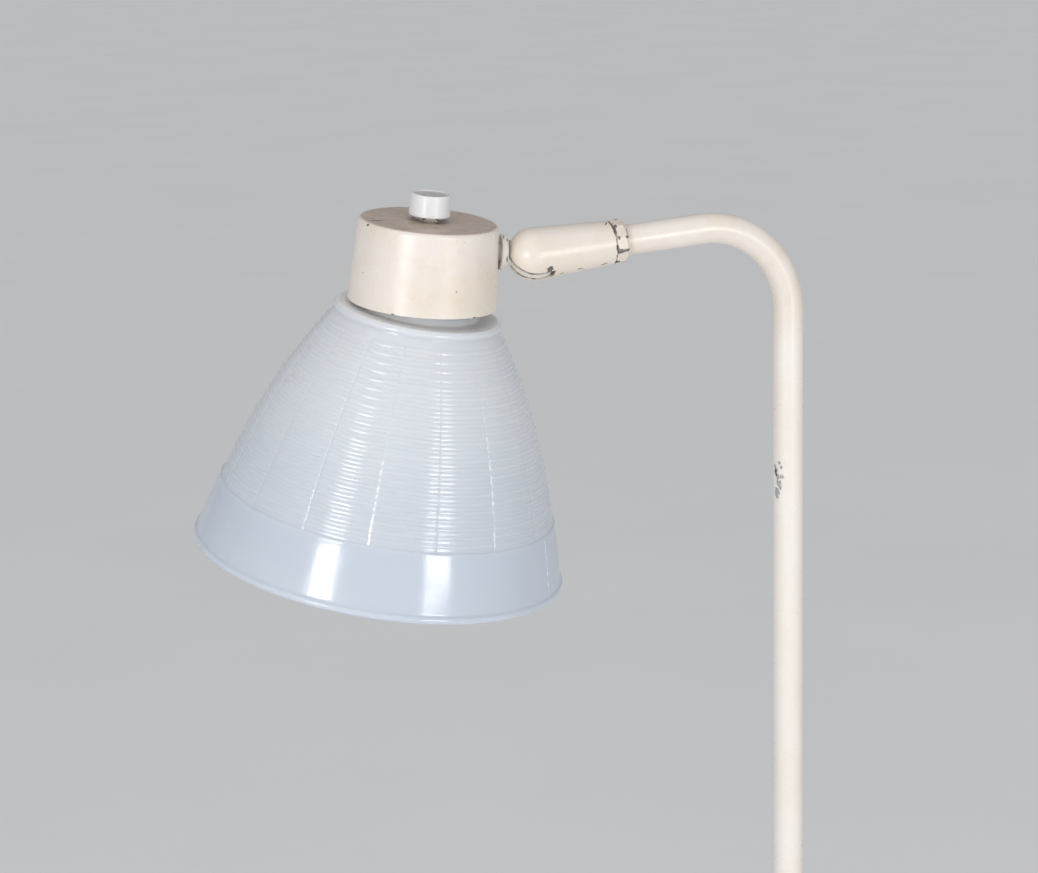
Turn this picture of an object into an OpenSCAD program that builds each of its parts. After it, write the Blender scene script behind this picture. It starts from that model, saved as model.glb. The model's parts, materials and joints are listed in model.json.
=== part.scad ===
// Examination lamp on a floor stand: a heavy round base, a column, a bent stem that slides and
// turns in the column, a ball-shaped knuckle, and a head with a rotary switch and a bell shade.
// The origin is the middle of the base's underside, +Z is up and the arm reaches along -X.

/* [Base] */
// Radius of the base
base_r = 140; // [125:1:160]
// Height of the base at its boss
base_h = 30; // [28:1:36]
// Thickness of the pad under the base
pad_t = 2.5; // [2:0.1:3]

/* [Column] */
// Outside radius of the column tube
column_r = 11; // [10.8:0.1:12]
// Height of the column tube's top end
column_top = 640; // [600:5:680]
// Height of the clamp collar's top
collar_top = 668; // [666:1:674]

/* [Stem and arm] */
// Outside radius of the stem tube
tube_r = 8; // [7.8:0.05:8]
// Wall of the stem tube
tube_wall = 1.5; // [1.2:0.1:1.6]
// Height where the stem tube starts to bend
bend_z = 1080; // [1060:5:1120]
// Radius of the bend, on the tube's centre line
bend_r = 45.5; // [42:0.5:60]
// Slope of the arm below the horizontal, in degrees
arm_drop = 4.6; // [2:0.1:8]
// Length from the end of the bend to the tilt pivot
arm_l = 92.7; // [85:0.1:120]
// Length of stem tube below the bend
stem_l = 676.5; // [650:0.5:690]

/* [Knuckle] */
// Radius of the knuckle's ball end
ball_r = 13.8; // [13.6:0.1:14]
// Radius of the knuckle at the lock ring
knuckle_end_r = 11.4; // [11:0.1:12]
// Length from the tilt pivot to the lock ring
knuckle_l = 42; // [41:0.5:44]
// Width of the slot for the tongue
slot_w = 5.2; // [5:0.1:5.6]
// How far the knuckle is turned about the arm, in degrees
knuckle_turn = 40; // [20:1:60]
// How far the tongue stands tilted in the knuckle, in degrees
tongue_tilt = 13.4; // [0:0.1:20]
// How far the head is turned about the tongue, in degrees
head_turn = -44.4; // [-60:0.1:-20]

/* [Head cup] */
// Distance from the tilt pivot to the cup's axis
head_reach = 55.5; // [54:0.1:58]
// Outside radius of the cup's top
cup_top_r = 36; // [35:0.1:37]
// Outside radius of the cup's lower edge
cup_low_r = 38.4; // [37:0.1:39]
// Height of the cup above the tongue's axis
cup_up = 14.4; // [14:0.1:16]
// Depth of the cup below the tongue's axis
cup_down = 27.9; // [26:0.1:29]
// Wall of the cup
cup_wall = 1.6; // [1.2:0.1:1.8]

/* [Shade] */
// How the shade hangs off the cup's axis, about the head's X and Y axes, in degrees
shade_hang = [1.6, 4.2];
// How far the shade's axis passes from the cup's at the cup's lower edge, away from the pivot
shade_shift = 1.3; // [0:0.1:2]
// Outside radius of the shade's top flange
lip_r = 43.3; // [43:0.1:45]
// Outside radius of the shade where the ribs end
rib_end_r = 87; // [84:0.1:88]
// Outside radius of the smooth band under the ribs, at its top and at the rim
band_r = [88.2, 96.3];
// Outside radius of the rim bead
rim_r = 97.7; // [97.5:0.1:99]
// Depth of the rim below the cup's lower edge
rim_depth = 139; // [136:0.1:142]
// Wall of the shade
shade_wall = 2.2; // [1.8:0.1:2.4]

/* [Switch] */
// Radius of the switch knob at its lower edge
knob_low_r = 10.6; // [10:0.1:11]
// Radius of the switch knob at its top
knob_top_r = 10; // [9.5:0.1:10.2]
// Height of the switch knob's top above the cup
knob_h = 13.9; // [13:0.1:15]

/* [Hidden] */
$fn = 96;
eps = 0.01;                              // lap between shapes that are joined
fit = 0.05;                              // radial clearance of a running fit
cream = [0.93, 0.89, 0.82];
steel = [0.70, 0.71, 0.72];
brass = [0.80, 0.66, 0.36];
black = [0.10, 0.10, 0.10];
opal = [0.82, 0.86, 0.90];

// Base and column
edge_r = 6;                              // rounding of the base's edge
edge_x = base_r - edge_r;
edge_top = pad_t + 2 * edge_r;
dome_h = base_h - 6;                     // height of the dome under the boss
dome_r = (edge_x * edge_x + pow(dome_h - edge_top, 2)) / (2 * (dome_h - edge_top));
dome_edge = asin(edge_x / dome_r);       // half the angle that the dome covers
dome_foot = dome_h - 0.4;                // height of the dome where the boss's fillet starts
boss_r = 20;
recess_r = 22;
recess_top = pad_t + 10;
spigot_r = 8;
column_bore = column_r - 1.5;
inlet_z = pad_t + 6;                     // height of the cable inlet
inlet_r = 3.5;
grommet_r = 5;
grommet_x = base_r - 12;
spigot_l = 26;                           // how far the spigot reaches into the column tube
collar_r = 15.5;
collar_low = column_top - 24;
bush_r = column_bore - fit;
bush_bore = tube_r + fit;
clamp_z = collar_top - 15;
clamp_tip = tube_r + 0.1;                // nearest point of the clamp pad to the stem's axis
screw_r = 3;
pocket_r = 3.7;                          // bore in which the clamp pad moves
knob_x = 21;                             // inner face of the clamp knob
knob_r = 15;
knob_t = 15;
flutes = 8;

// Stem
tube_bore = tube_r - tube_wall;
stem_low = bend_z - stem_l;
bend_turn = 90 + arm_drop;
bend_thin = 0.01;                        // how much slimmer the tube is in its bend
bend_lap = 0.05;                         // length of straight tube that laps over the bend's end
slide_bush_l = 20;
circlip_z = stem_low + slide_bush_l + 0.4;

// Knuckle, measured from the tilt pivot towards the column
gap = 0.2;                               // gap between the knuckle and the lock ring
ring_l = 6.5;
ring_flat_r = 11.7;                      // corner radius of the ten-sided lock ring
tube_end = knuckle_l + 4;
journal_r = 7;
journal_tip = 20;
cutter_r = 14.8;                         // radius of the disc that cuts the slot
tongue_gap = 0.6;                        // gap on each side of the tongue
tongue_w = slot_w - 2 * tongue_gap;
washer_r = 7;
washer_seat = 0.5;                       // how deep the washers sit in the cheeks
wire_r = 3.5;                            // bore for the wires through the knuckle
grub_at = 33;
grub_r = 2;
pivot_r = 3;
pivot_head_r = 5.4;
cheek_end = -9.3;                        // blind end of the pivot screw
head_seat = 8.6;                         // seat of the pivot screw's head

// Tongue, measured from the tilt pivot towards the cup's axis
cup_side_r = cup_low_r + (cup_top_r - cup_low_r) * cup_down / (cup_up + cup_down);
flange_face = head_reach - cup_side_r - 0.9;
neck_start = ball_r + 0.4;
flange_r = 9.3;
neck_r = 7.2;
stud_r = 5;
pad_face = head_reach - 32.5;            // inner face of the cup's stiffening pad
stud_end = pad_face + 7;
washer_t = 1.2;

// Cup and switch
top_in = cup_up - cup_wall;
switch_stem_r = 5;
shaft_r = 3;
nut_h = 2.4;
knob_gap = 2.7;
bracket_t = 1.2;
bracket_w = 16;
leg_x = 16;
bracket_low = -16;                       // underside of the holder bracket
holder_screw_x = 9;                      // distance of the holder's screws from the cup's axis
holder_screw_r = 1.5;
switch_body_l = 18;
body_low = top_in - bracket_t - switch_body_l;
shaft_low = body_low + 4.2;
lead_y = 9.5;
holder_top = 10.6;                       // top of the lampholder, in the shade's frame

// Shade, heights in the shade's frame: zero at the cup's lower edge
flange_z = -4.4;                         // top of the shade's flange
flange_t = 2.2;
lip_round = 2.3;                         // rounding of the flange's outer edge
hub_r = 31;                              // foot of the raised hub in the middle of the flange
hub_z = -0.6;                            // top of the hub, which the holder's shoulder rests on
shoulder_z = -8.2;
rib_end_z = -105;
bead_r = 2;
shade_hole = 19.9;
sleeve_r = 19.4;
neck_out = lip_r - 0.7;
bulge_r = 352;                           // radius of the bell's curve between shoulder and band

// Points along an arc
function arc(c, r, a0, a1, n = 8) =
    [for (i = [0 : n]) c + r * [cos(a0 + (a1 - a0) * i / n), sin(a0 + (a1 - a0) * i / n)]];

// Centre of an arc of radius r from p to q, on the side nearer the axis
function arc_centre(p, q, r) =
    let (d = q - p, l = norm(d), h = sqrt(r * r - l * l / 4)) (p + q) / 2 + h / l * [d[1], -d[0]];

// Points on the bell's outer curve, thickness t inside it, from the shoulder to the band
function bell(t, n = 10) =
    let (p = [neck_out, shoulder_z], q = [rib_end_r, rib_end_z], c = arc_centre(p, q, bulge_r))
    arc(c, bulge_r - t, atan2(p[1] - c[1], p[0] - c[0]), atan2(q[1] - c[1], q[0] - c[0]), n);

// Places the children in the arm's frame: +Z runs along the arm away from the column
module at_pivot() {
    end = [-bend_r * (1 - cos(bend_turn)), 0, bend_z + bend_r * sin(bend_turn)];
    translate(end + arm_l * [-cos(arm_drop), 0, -sin(arm_drop)])
        rotate([0, -bend_turn, 0]) children();
}

// Knuckle's frame: the tilt pivot lies along Y
module in_knuckle() {
    at_pivot() rotate([0, 0, knuckle_turn]) children();
}

// Tongue's frame: +Z runs from the tilt pivot to the cup's axis
module in_tongue() {
    in_knuckle() rotate([0, tongue_tilt, 0]) children();
}

// Head's frame: +Z up the cup's axis, +X towards the tilt pivot
module in_head() {
    in_tongue() translate([0, 0, head_reach]) rotate([0, 0, head_turn]) rotate([0, 90, 0]) children();
}

// Shade's frame: +Z up the shade's axis, origin level with the cup's lower edge
module in_shade() {
    in_head() translate([-shade_shift, 0, -cup_down])
        rotate([shade_hang[0], 0, 0]) rotate([0, shade_hang[1], 0]) children();
}

// A ring between two radii, from height z0 to z1
module ring(r_out, r_in, z0, z1) {
    translate([0, 0, z0]) difference() {
        cylinder(r = r_out, h = z1 - z0);
        translate([0, 0, -1]) cylinder(r = r_in, h = z1 - z0 + 2);
    }
}

// A hexagonal nut, measured across its flats
module hex_nut(flats, bore_r, z0, z1) {
    translate([0, 0, z0]) difference() {
        intersection() {
            cylinder(r = flats / sqrt(3), h = z1 - z0, $fn = 6);
            union() {
                translate([0, 0, 0.6]) cylinder(r1 = flats / 2 + 1.3, r2 = flats / 2, h = z1 - z0 - 0.6);
                cylinder(r1 = flats / 2, r2 = flats / 2 + 1.3, h = 0.6 + eps);
            }
        }
        translate([0, 0, -1]) cylinder(r = bore_r, h = z1 - z0 + 2);
    }
}

module base_pad() {
    color(black) rotate_extrude()
        polygon([[0, 0], [base_r - 9, 0], [base_r - 8, 1], [base_r - 8, pad_t], [0, pad_t]]);
}

module base() {
    color(cream) difference() {
        rotate_extrude()
            polygon(concat([[0, pad_t]], arc([edge_x, pad_t + edge_r], edge_r, -90, 80),
                           arc([0, dome_h - dome_r], dome_r, 90 - dome_edge, 90 - dome_edge * 0.21, 12),
                           arc([boss_r + 4, dome_foot + 4], 4, 268, 180, 5),
                           [[boss_r, base_h - 1], [boss_r - 1, base_h], [0, base_h]]));
        translate([0, 0, -1]) cylinder(r = spigot_r + fit, h = base_h + 2);
        translate([0, 0, pad_t - 1]) cylinder(r = recess_r, h = recess_top - pad_t + 1);
        translate([0, 0, inlet_z]) rotate([0, 90, 0]) cylinder(r = inlet_r, h = base_r + 1);
        translate([grommet_x, 0, inlet_z]) rotate([0, 90, 0]) cylinder(r = grommet_r, h = 20);
    }
}

module base_washer() {
    color(steel) ring(17, spigot_r + 0.3, recess_top - 2, recess_top);
}

module base_nut() {
    color(steel) hex_nut(24, spigot_r + fit, pad_t + 1, recess_top - 2);
}

module cable_grommet() {
    color(black) translate([grommet_x, 0, inlet_z]) rotate([0, 90, 0]) difference() {
        union() {
            cylinder(r = grommet_r, h = 13);
            translate([0, 0, 12]) cylinder(r1 = grommet_r + 0.8, r2 = grommet_r + 0.2, h = 1.6);
        }
        translate([0, 0, -1]) cylinder(r = 3.3, h = 20);
    }
}

module column_spigot() {
    color(steel) difference() {
        union() {
            translate([0, 0, pad_t + 1]) cylinder(r = spigot_r, h = base_h - pad_t - 1);
            translate([0, 0, base_h]) cylinder(r = column_bore, h = spigot_l);
        }
        cylinder(r = 4.5, h = base_h + 40);
    }
}

module column_tube() {
    color(cream) ring(column_r, column_bore, base_h, column_top);
}

module clamp_collar() {
    color(cream) difference() {
        union() {
            rotate_extrude()
                polygon(concat([[0, collar_low], [collar_r - 1.5, collar_low],
                                [collar_r, collar_low + 1.5]],
                               arc([collar_r - 3, collar_top - 3], 3, 0, 90), [[0, collar_top]]));
            translate([0, 0, clamp_z]) rotate([0, 90, 0]) cylinder(r = 7, h = knob_x - 1);
        }
        translate([0, 0, collar_low - 1]) cylinder(r = column_r + fit, h = column_top - collar_low + 1);
        cylinder(r = bush_r + fit, h = collar_top + 1);
        translate([0, 0, clamp_z]) rotate([0, 90, 0]) cylinder(r = screw_r + fit, h = knob_x);
        translate([0, 0, clamp_z]) rotate([0, 90, 0]) cylinder(r = pocket_r, h = 12.5);
    }
}

module guide_bush() {
    color(black) difference() {
        union() {
            translate([0, 0, collar_low - 10]) cylinder(r = bush_r, h = collar_top - collar_low + 10);
            translate([0, 0, collar_top])
                rotate_extrude() polygon([[0, 0], [12, 0], [12, 1], [10.8, 2.2], [0, 2.2]]);
        }
        translate([0, 0, collar_low - 11]) cylinder(r = bush_bore, h = collar_top - collar_low + 15);
        translate([0, 0, clamp_z]) rotate([0, 90, 0]) cylinder(r = pocket_r, h = 20);
    }
}

module clamp_pad() {
    color(brass) translate([clamp_tip, 0, clamp_z]) rotate([0, 90, 0])
        cylinder(r = pocket_r - 0.1, h = 3.8);
}

module clamp_screw() {
    color(steel) translate([clamp_tip + 4, 0, clamp_z]) rotate([0, 90, 0])
        cylinder(r = screw_r, h = knob_x + 10 - clamp_tip - 4);
}

module clamp_knob() {
    color(black) translate([knob_x, 0, clamp_z]) rotate([0, 90, 0]) difference() {
        rotate_extrude()
            polygon(concat([[0, 0], [7, 0], [8, 3]], [[knob_r - 2, 3]],
                           arc([knob_r - 2, 5], 2, -60, 0, 3),
                           arc([knob_r - 3, knob_t - 3], 3, 0, 90), [[0, knob_t]]));
        for (i = [1 : flutes])
            rotate([0, 0, 360 / flutes * i]) translate([knob_r + 2.6, 0, 2]) cylinder(r = 4.4, h = 20);
        translate([0, 0, -1]) cylinder(r = screw_r, h = 11);
    }
}

module slide_bush() {
    color(black) ring(bush_r, bush_bore, stem_low + 0.2, stem_low + slide_bush_l);
}

module stem_end_plug() {
    color(steel) difference() {
        union() {
            translate([0, 0, stem_low - 3.5]) cylinder(r = tube_r + 1, h = 3.5);
            translate([0, 0, stem_low - eps]) cylinder(r = tube_bore, h = 15);
        }
        translate([0, 0, stem_low - 5]) cylinder(r = 4, h = 25);
    }
}

module stem_circlip() {
    color(steel) difference() {
        ring(tube_r + 1.1, tube_r, circlip_z, circlip_z + 1.2);
        translate([0, -1.5, circlip_z - 1]) cube([12, 3, 4]);
    }
}

// The tube's solid of the given radius, from its low end, round the bend and along the arm
module bent_rod(r, low, end_at) {
    translate([0, 0, low]) cylinder(r = r, h = bend_z - low + bend_lap);
    translate([-bend_r, 0, bend_z]) rotate([90, 0, 0])
        rotate_extrude(angle = bend_turn) translate([bend_r, 0]) circle(r = r - bend_thin);
    at_pivot() translate([0, 0, -arm_l - bend_lap]) cylinder(r = r, h = arm_l + bend_lap - end_at);
}

module arm_tube() {
    color(cream) difference() {
        bent_rod(tube_r, stem_low, tube_end);
        bent_rod(tube_bore, stem_low - 1, tube_end - 1);
    }
}

module arm_spigot() {
    color(steel) at_pivot() difference() {
        union() {
            translate([0, 0, -tube_end]) cylinder(r = tube_r, h = tube_end - knuckle_l - gap);
            translate([0, 0, -tube_end - 20]) cylinder(r = tube_bore, h = 20 + eps);
            translate([0, 0, -knuckle_l - gap - eps])
                cylinder(r = journal_r, h = knuckle_l + gap - journal_tip);
        }
        translate([0, 0, -tube_end - 30]) cylinder(r = wire_r, h = 80);
        ring(journal_r + 1, journal_r - 1.6, -grub_at - grub_r - 0.2, -grub_at + grub_r + 0.2);
    }
}

module lock_ring() {
    low = -knuckle_l - gap - ring_l;
    color(cream) at_pivot() difference() {
        intersection() {
            translate([0, 0, low]) cylinder(r = ring_flat_r, h = ring_l, $fn = 10);
            translate([0, 0, low]) rotate_extrude()
                polygon([[0, 0], [ring_flat_r - 1.3, 0], [ring_flat_r + 0.7, 3],
                         [ring_flat_r + 0.7, ring_l + 1], [0, ring_l + 1]]);
        }
        translate([0, 0, low - 1]) cylinder(r = tube_r + fit, h = ring_l + 2);
    }
}

module knuckle_fork() {
    color(cream) in_knuckle() difference() {
        rotate_extrude() polygon(concat([[0, -knuckle_l], [knuckle_end_r - 0.6, -knuckle_l],
                                         [knuckle_end_r, -knuckle_l + 0.6]],
                                        arc([0, 0], ball_r, -3, 90, 24)));
        rotate([90, 0, 0]) translate([0, 0, -slot_w / 2]) cylinder(r = cutter_r, h = slot_w);
        translate([0, 0, -knuckle_l - 1]) cylinder(r = journal_r + fit, h = knuckle_l + 2 - journal_tip);
        translate([0, 0, -journal_tip - 1]) cylinder(r = wire_r, h = 8);
        rotate([-90, 0, 0]) translate([0, 0, cheek_end - 0.2]) cylinder(r = pivot_r + fit, h = 30);
        rotate([-90, 0, 0]) translate([0, 0, head_seat]) cylinder(r = pivot_head_r + 0.2, h = 10);
        rotate([-90, 0, 0])
            ring(washer_r + 0.2, pivot_r, -slot_w / 2 - washer_seat, slot_w / 2 + washer_seat);
        translate([0, 0, -grub_at]) rotate([-90, 0, 0]) cylinder(r = grub_r + fit, h = 20);
    }
}

module pivot_screw() {
    color(steel) in_knuckle() rotate([-90, 0, 0]) difference() {
        union() {
            translate([0, 0, cheek_end]) cylinder(r = pivot_r, h = head_seat - cheek_end + eps);
            translate([0, 0, head_seat]) cylinder(r = pivot_head_r, h = 2.4);
            translate([0, 0, head_seat + 2.4 - eps])
                cylinder(r1 = pivot_head_r, r2 = pivot_head_r - 0.8, h = 0.6);
        }
        translate([-0.6, -6, head_seat + 1.6]) cube([1.2, 12, 3]);
    }
}

module friction_washers() {
    color(brass) in_knuckle() for (side = [-90, 90]) rotate([side, 0, 0])
        ring(washer_r, pivot_r + fit, tongue_w / 2 + 0.1, slot_w / 2 + washer_seat);
}

module swivel_grub_screw() {
    color(steel) in_knuckle() translate([0, 0, -grub_at]) rotate([-90, 0, 0]) difference() {
        translate([0, 0, journal_r - 1.2]) cylinder(r = grub_r, h = 5.6);
        translate([-0.4, -3, journal_r + 3.4]) cube([0.8, 6, 3]);
    }
}

module head_tongue() {
    color(cream) in_tongue() difference() {
        union() {
            intersection() {
                sphere(r = ball_r - 0.35);
                translate([-20, -tongue_w / 2, -20]) cube([40, tongue_w, 40]);
            }
            translate([-6.5, -tongue_w / 2, 8]) cube([13, tongue_w, neck_start - 8 + eps]);
            rotate_extrude()
                polygon(concat([[0, neck_start], [neck_r, neck_start]],
                               [[neck_r + 0.6, neck_start + 1.2], [flange_r, flange_face - 2.2],
                                [flange_r, flange_face - 0.3], [flange_r - 0.3, flange_face],
                                [0, flange_face]]));
            translate([0, 0, flange_face - eps]) cylinder(r = stud_r, h = stud_end - flange_face);
        }
        rotate([90, 0, 0]) translate([0, 0, -10]) cylinder(r = pivot_r + fit, h = 20);
        translate([0, 0, 7]) cylinder(r = 1.8, h = 40);
    }
}

module tongue_washer() {
    color(steel) in_tongue() ring(9, stud_r + 0.02, pad_face + 0.1, pad_face + 0.1 + washer_t);
}

module tongue_nut() {
    color(steel) in_tongue() hex_nut(16, stud_r + 0.02, pad_face + 0.1 + washer_t, pad_face + 6);
}

// Outline of the cup: t is the distance inside its outer face
module cup_outline(t) {
    slope = atan((cup_low_r - cup_top_r) / (cup_up + cup_down));
    edge = 2.4 - t;
    low = t > 0 ? -cup_down - 1 : -cup_down;
    polygon(concat([[0, low], [cup_low_r - t + (t > 0 ? tan(slope) : 0), low]],
                   arc([cup_top_r - 2.4, cup_up - 2.4], edge, 0, 90), [[0, cup_up - t]]));
}

module head_cup() {
    color(cream) in_head() difference() {
        union() {
            difference() {
                rotate_extrude() cup_outline(0);
                rotate_extrude() cup_outline(cup_wall);
            }
            intersection() {
                translate([head_reach - pad_face, 0, 0]) rotate([0, 90, 0]) cylinder(r = 10, h = 10);
                rotate_extrude() cup_outline(0);
            }
        }
        cylinder(r = switch_stem_r + 0.1, h = 40);
        translate([20, 0, 0]) rotate([0, 90, 0]) cylinder(r = stud_r + fit, h = 30);
    }
}

module holder_bracket() {
    color(steel) in_head() difference() {
        union() {
            translate([-leg_x, -bracket_w / 2, top_in - bracket_t]) cube([2 * leg_x, bracket_w, bracket_t]);
            for (side = [-1, 1]) translate([side * (leg_x - bracket_t / 2), 0, 0])
                translate([-bracket_t / 2, -bracket_w / 2, bracket_low])
                    cube([bracket_t, bracket_w, top_in - bracket_low]);
            translate([-leg_x, -bracket_w / 2, bracket_low]) cube([2 * leg_x, bracket_w, bracket_t]);
        }
        cylinder(r = switch_stem_r + 0.1, h = 40);
        for (side = [-1, 1]) translate([side * holder_screw_x, 0, bracket_low - 1])
            cylinder(r = holder_screw_r + 0.2, h = 4);
    }
}

module switch_body() {
    color(black) in_head() difference() {
        union() {
            translate([0, 0, body_low]) cylinder(r = 13, h = switch_body_l);
            translate([0, 0, top_in - bracket_t - eps])
                cylinder(r = switch_stem_r, h = cup_wall + bracket_t + nut_h + 1.4);
        }
        translate([0, 0, shaft_low - 0.2]) cylinder(r = shaft_r + fit, h = 40);
    }
}

module switch_nut() {
    color(steel) in_head() hex_nut(12.6, switch_stem_r + 0.02, cup_up, cup_up + nut_h);
}

module switch_shaft() {
    color(steel) in_head() translate([0, 0, shaft_low])
        cylinder(r = shaft_r, h = cup_up + knob_h - 3 - shaft_low);
}

module switch_knob() {
    low = cup_up + knob_gap;
    high = cup_up + knob_h;
    color("white") in_head() difference() {
        rotate_extrude() polygon(concat([[0, low], [knob_low_r - 0.4, low], [knob_low_r, low + 0.4]],
                                        arc([knob_top_r - 0.8, high - 0.8], 0.8, 0, 90, 4),
                                        [[knob_top_r - 1.6, high - 0.5], [0, high - 0.5]]));
        translate([0, 0, low - 1]) cylinder(r = 8.6, h = 4.4);
        translate([0, 0, low]) cylinder(r = shaft_r, h = high - 3 - low);
    }
}

module switch_leads() {
    color(brass) in_head() for (side = [-1, 1])
        translate([0, side * lead_y, bracket_low - 0.5]) cylinder(r = 1.1, h = body_low - bracket_low + 0.5);
}

module holder_body() {
    color(black) difference() {
        in_shade() rotate_extrude()
            polygon(concat([[0, 5], [sleeve_r - 2, 5]], arc([sleeve_r - 5, holder_top - 3], 3, 0, 90),
                           [[0, holder_top]]));
        in_head() for (side = [-1, 1]) translate([side * holder_screw_x, 0, bracket_low - 4])
            cylinder(r = holder_screw_r + fit, h = 6);
    }
}

module holder_screws() {
    color(steel) in_head() for (side = [-1, 1]) translate([side * holder_screw_x, 0, 0]) {
        translate([0, 0, bracket_low - 3]) cylinder(r = holder_screw_r, h = 3 + bracket_t + eps);
        translate([0, 0, bracket_low + bracket_t]) cylinder(r = 2.8, h = 1.6);
    }
}

module holder_sleeve() {
    color(black) in_shade() difference() {
        union() {
            translate([0, 0, -24]) cylinder(r = sleeve_r, h = 29);
            translate([0, 0, hub_z]) cylinder(r = 24, h = 2.2);
        }
        translate([0, 0, -25]) cylinder(r = 14.6, h = 28);
        cylinder(r = 4, h = 10);
    }
}

module thread_shell() {
    color(brass) in_shade() difference() {
        translate([0, 0, -22]) cylinder(r = 14.5, h = 24.9);
        translate([0, 0, -23]) cylinder(r = 13.4, h = 25);
        cylinder(r = 6, h = 10);
    }
}

module centre_contact() {
    color(brass) in_shade() translate([0, 0, 2]) cylinder(r = 3.6, h = 2.9);
}

module shade() {
    band_low = [band_r[1], -rim_depth + 2 * bead_r];
    outer = concat([[shade_hole, hub_z], [hub_r - 1.8, hub_z], [hub_r - 1, hub_z - 0.8], [hub_r, flange_z]],
                   arc([lip_r - lip_round, flange_z - lip_round], lip_round, 90, -30, 8), bell(0),
                   [[band_r[0], rib_end_z - 0.8], band_low],
                   arc([rim_r - bead_r, -rim_depth + bead_r], bead_r, 70, -90, 10));
    inner = concat([[rim_r - bead_r - 0.6, -rim_depth], [band_r[1] - shade_wall, -rim_depth + 2 * bead_r],
                    [band_r[0] - shade_wall - 0.4, rib_end_z - 0.8]],
                   [for (i = [10 : -1 : 0]) bell(shade_wall)[i]],
                   [[neck_out - shade_wall, flange_z - flange_t], [hub_r - 2.4, flange_z - flange_t],
                    [hub_r - 3.2, hub_z - flange_t], [shade_hole, hub_z - flange_t]]);
    color(opal) in_shade() rotate_extrude() polygon(concat(outer, inner));
}

module shade_ring() {
    top = hub_z - flange_t;
    color(black) in_shade() difference() {
        rotate_extrude() polygon([[sleeve_r, top - 8], [24, top - 8], [25, top - 7], [25, top - 2.5],
                                  [27, top - 1.8], [27, top], [sleeve_r, top]]);
        for (i = [0 : 11]) rotate([0, 0, 30 * i]) translate([26.2, 0, top - 9]) cylinder(r = 1.8, h = 6);
    }
}

module bulb_cap() {
    color(brass) in_shade() rotate_extrude()
        polygon([[0, -20], [13.2, -20], [13.2, -3], [9, -0.4], [4.5, 0.6], [4, 1.9], [0, 1.9]]);
}

// Outline of the bulb's glass: t is the distance inside its outer face
function glass_outline(t) =
    concat([[12.6 - t, -20.2], [13.4 - t, -26]],
           [for (i = [1 : 8]) [13.4 - t + 5.8 * (1 - cos(22.5 * i)), -26 - 4 * i]],
           arc([0, -75], 30 - t, 34, -90, 16));

module bulb_glass() {
    wall = 0.8;
    inner = glass_outline(wall);
    color("white") in_shade() rotate_extrude()
        polygon(concat(glass_outline(0), [for (i = [len(inner) - 1 : -1 : 0]) inner[i]]));
}

base_pad();
base();
base_washer();
base_nut();
cable_grommet();
column_spigot();
column_tube();
clamp_collar();
guide_bush();
clamp_pad();
clamp_screw();
clamp_knob();
slide_bush();
stem_end_plug();
stem_circlip();
arm_tube();
arm_spigot();
lock_ring();
knuckle_fork();
pivot_screw();
friction_washers();
swivel_grub_screw();
head_tongue();
tongue_washer();
tongue_nut();
head_cup();
holder_bracket();
switch_body();
switch_nut();
switch_shaft();
switch_knob();
switch_leads();
holder_body();
holder_screws();
holder_sleeve();
thread_shell();
centre_contact();
shade();
shade_ring();
bulb_cap();
bulb_glass();
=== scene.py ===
"""Examination lamp: the CAD model with finished surfaces, a detailed shade and bulb cap, and a studio."""

import json
from math import cos, hypot, pi, radians, sin

import bmesh
import bpy
import numpy as np
from mathutils import Euler, Matrix, Vector


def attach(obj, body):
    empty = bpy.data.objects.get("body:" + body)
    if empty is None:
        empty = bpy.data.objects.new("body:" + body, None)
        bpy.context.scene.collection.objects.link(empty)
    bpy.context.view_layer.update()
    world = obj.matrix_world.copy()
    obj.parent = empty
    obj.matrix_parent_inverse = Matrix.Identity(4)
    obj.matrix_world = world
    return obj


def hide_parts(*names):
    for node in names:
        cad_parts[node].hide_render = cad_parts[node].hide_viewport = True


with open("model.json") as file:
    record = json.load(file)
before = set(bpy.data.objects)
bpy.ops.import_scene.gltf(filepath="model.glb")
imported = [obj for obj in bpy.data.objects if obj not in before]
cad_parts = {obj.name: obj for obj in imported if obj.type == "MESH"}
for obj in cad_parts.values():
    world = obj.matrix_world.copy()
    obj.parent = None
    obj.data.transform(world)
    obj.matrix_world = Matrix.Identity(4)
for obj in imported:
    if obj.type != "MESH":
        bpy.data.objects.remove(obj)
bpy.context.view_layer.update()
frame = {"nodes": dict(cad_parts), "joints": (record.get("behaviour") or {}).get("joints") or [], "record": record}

MM = 0.001
SEED = 11

# ---------------------------------------------------------------- the lamp's own frames

JOINTS = {joint["name"]: joint for joint in frame["joints"]}
NODE_BODY = {node: body for body, nodes in frame["record"]["behaviour"]["bodies"].items() for node in nodes}
NODE_SLOT = {part["node"]: part["material_slot"] for part in frame["record"]["subparts"]}


def joint_axis(name):
    return Vector(JOINTS[name]["axis"]).normalized()


def joint_point(name):
    return Vector(JOINTS[name]["pos_m"])


def axes_at(origin, x, z):
    """The matrix of a frame with that origin, whose X and Z run along x and z."""
    y = z.cross(x)
    return Matrix.Translation(origin) @ Matrix((x, y, z)).transposed().to_4x4()


# +Z along the arm away from the column; the arm's own and the turned knuckle's
ARM_Z = joint_axis("knuckle_swivel")
ARM_Y = Vector((0, 1, 0))
ARM = axes_at(joint_point("knuckle_swivel"), ARM_Y.cross(ARM_Z), ARM_Z)
PIN = joint_axis("head_tilt")
KNUCKLE = axes_at(joint_point("head_tilt"), PIN.cross(ARM_Z), ARM_Z)
PIVOT = axes_at(joint_point("head_tilt"), ARM_Z, PIN)
TONGUE_Z = joint_axis("head_swivel")
TONGUE = axes_at(joint_point("head_tilt"), PIN.cross(TONGUE_Z), TONGUE_Z)

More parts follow.
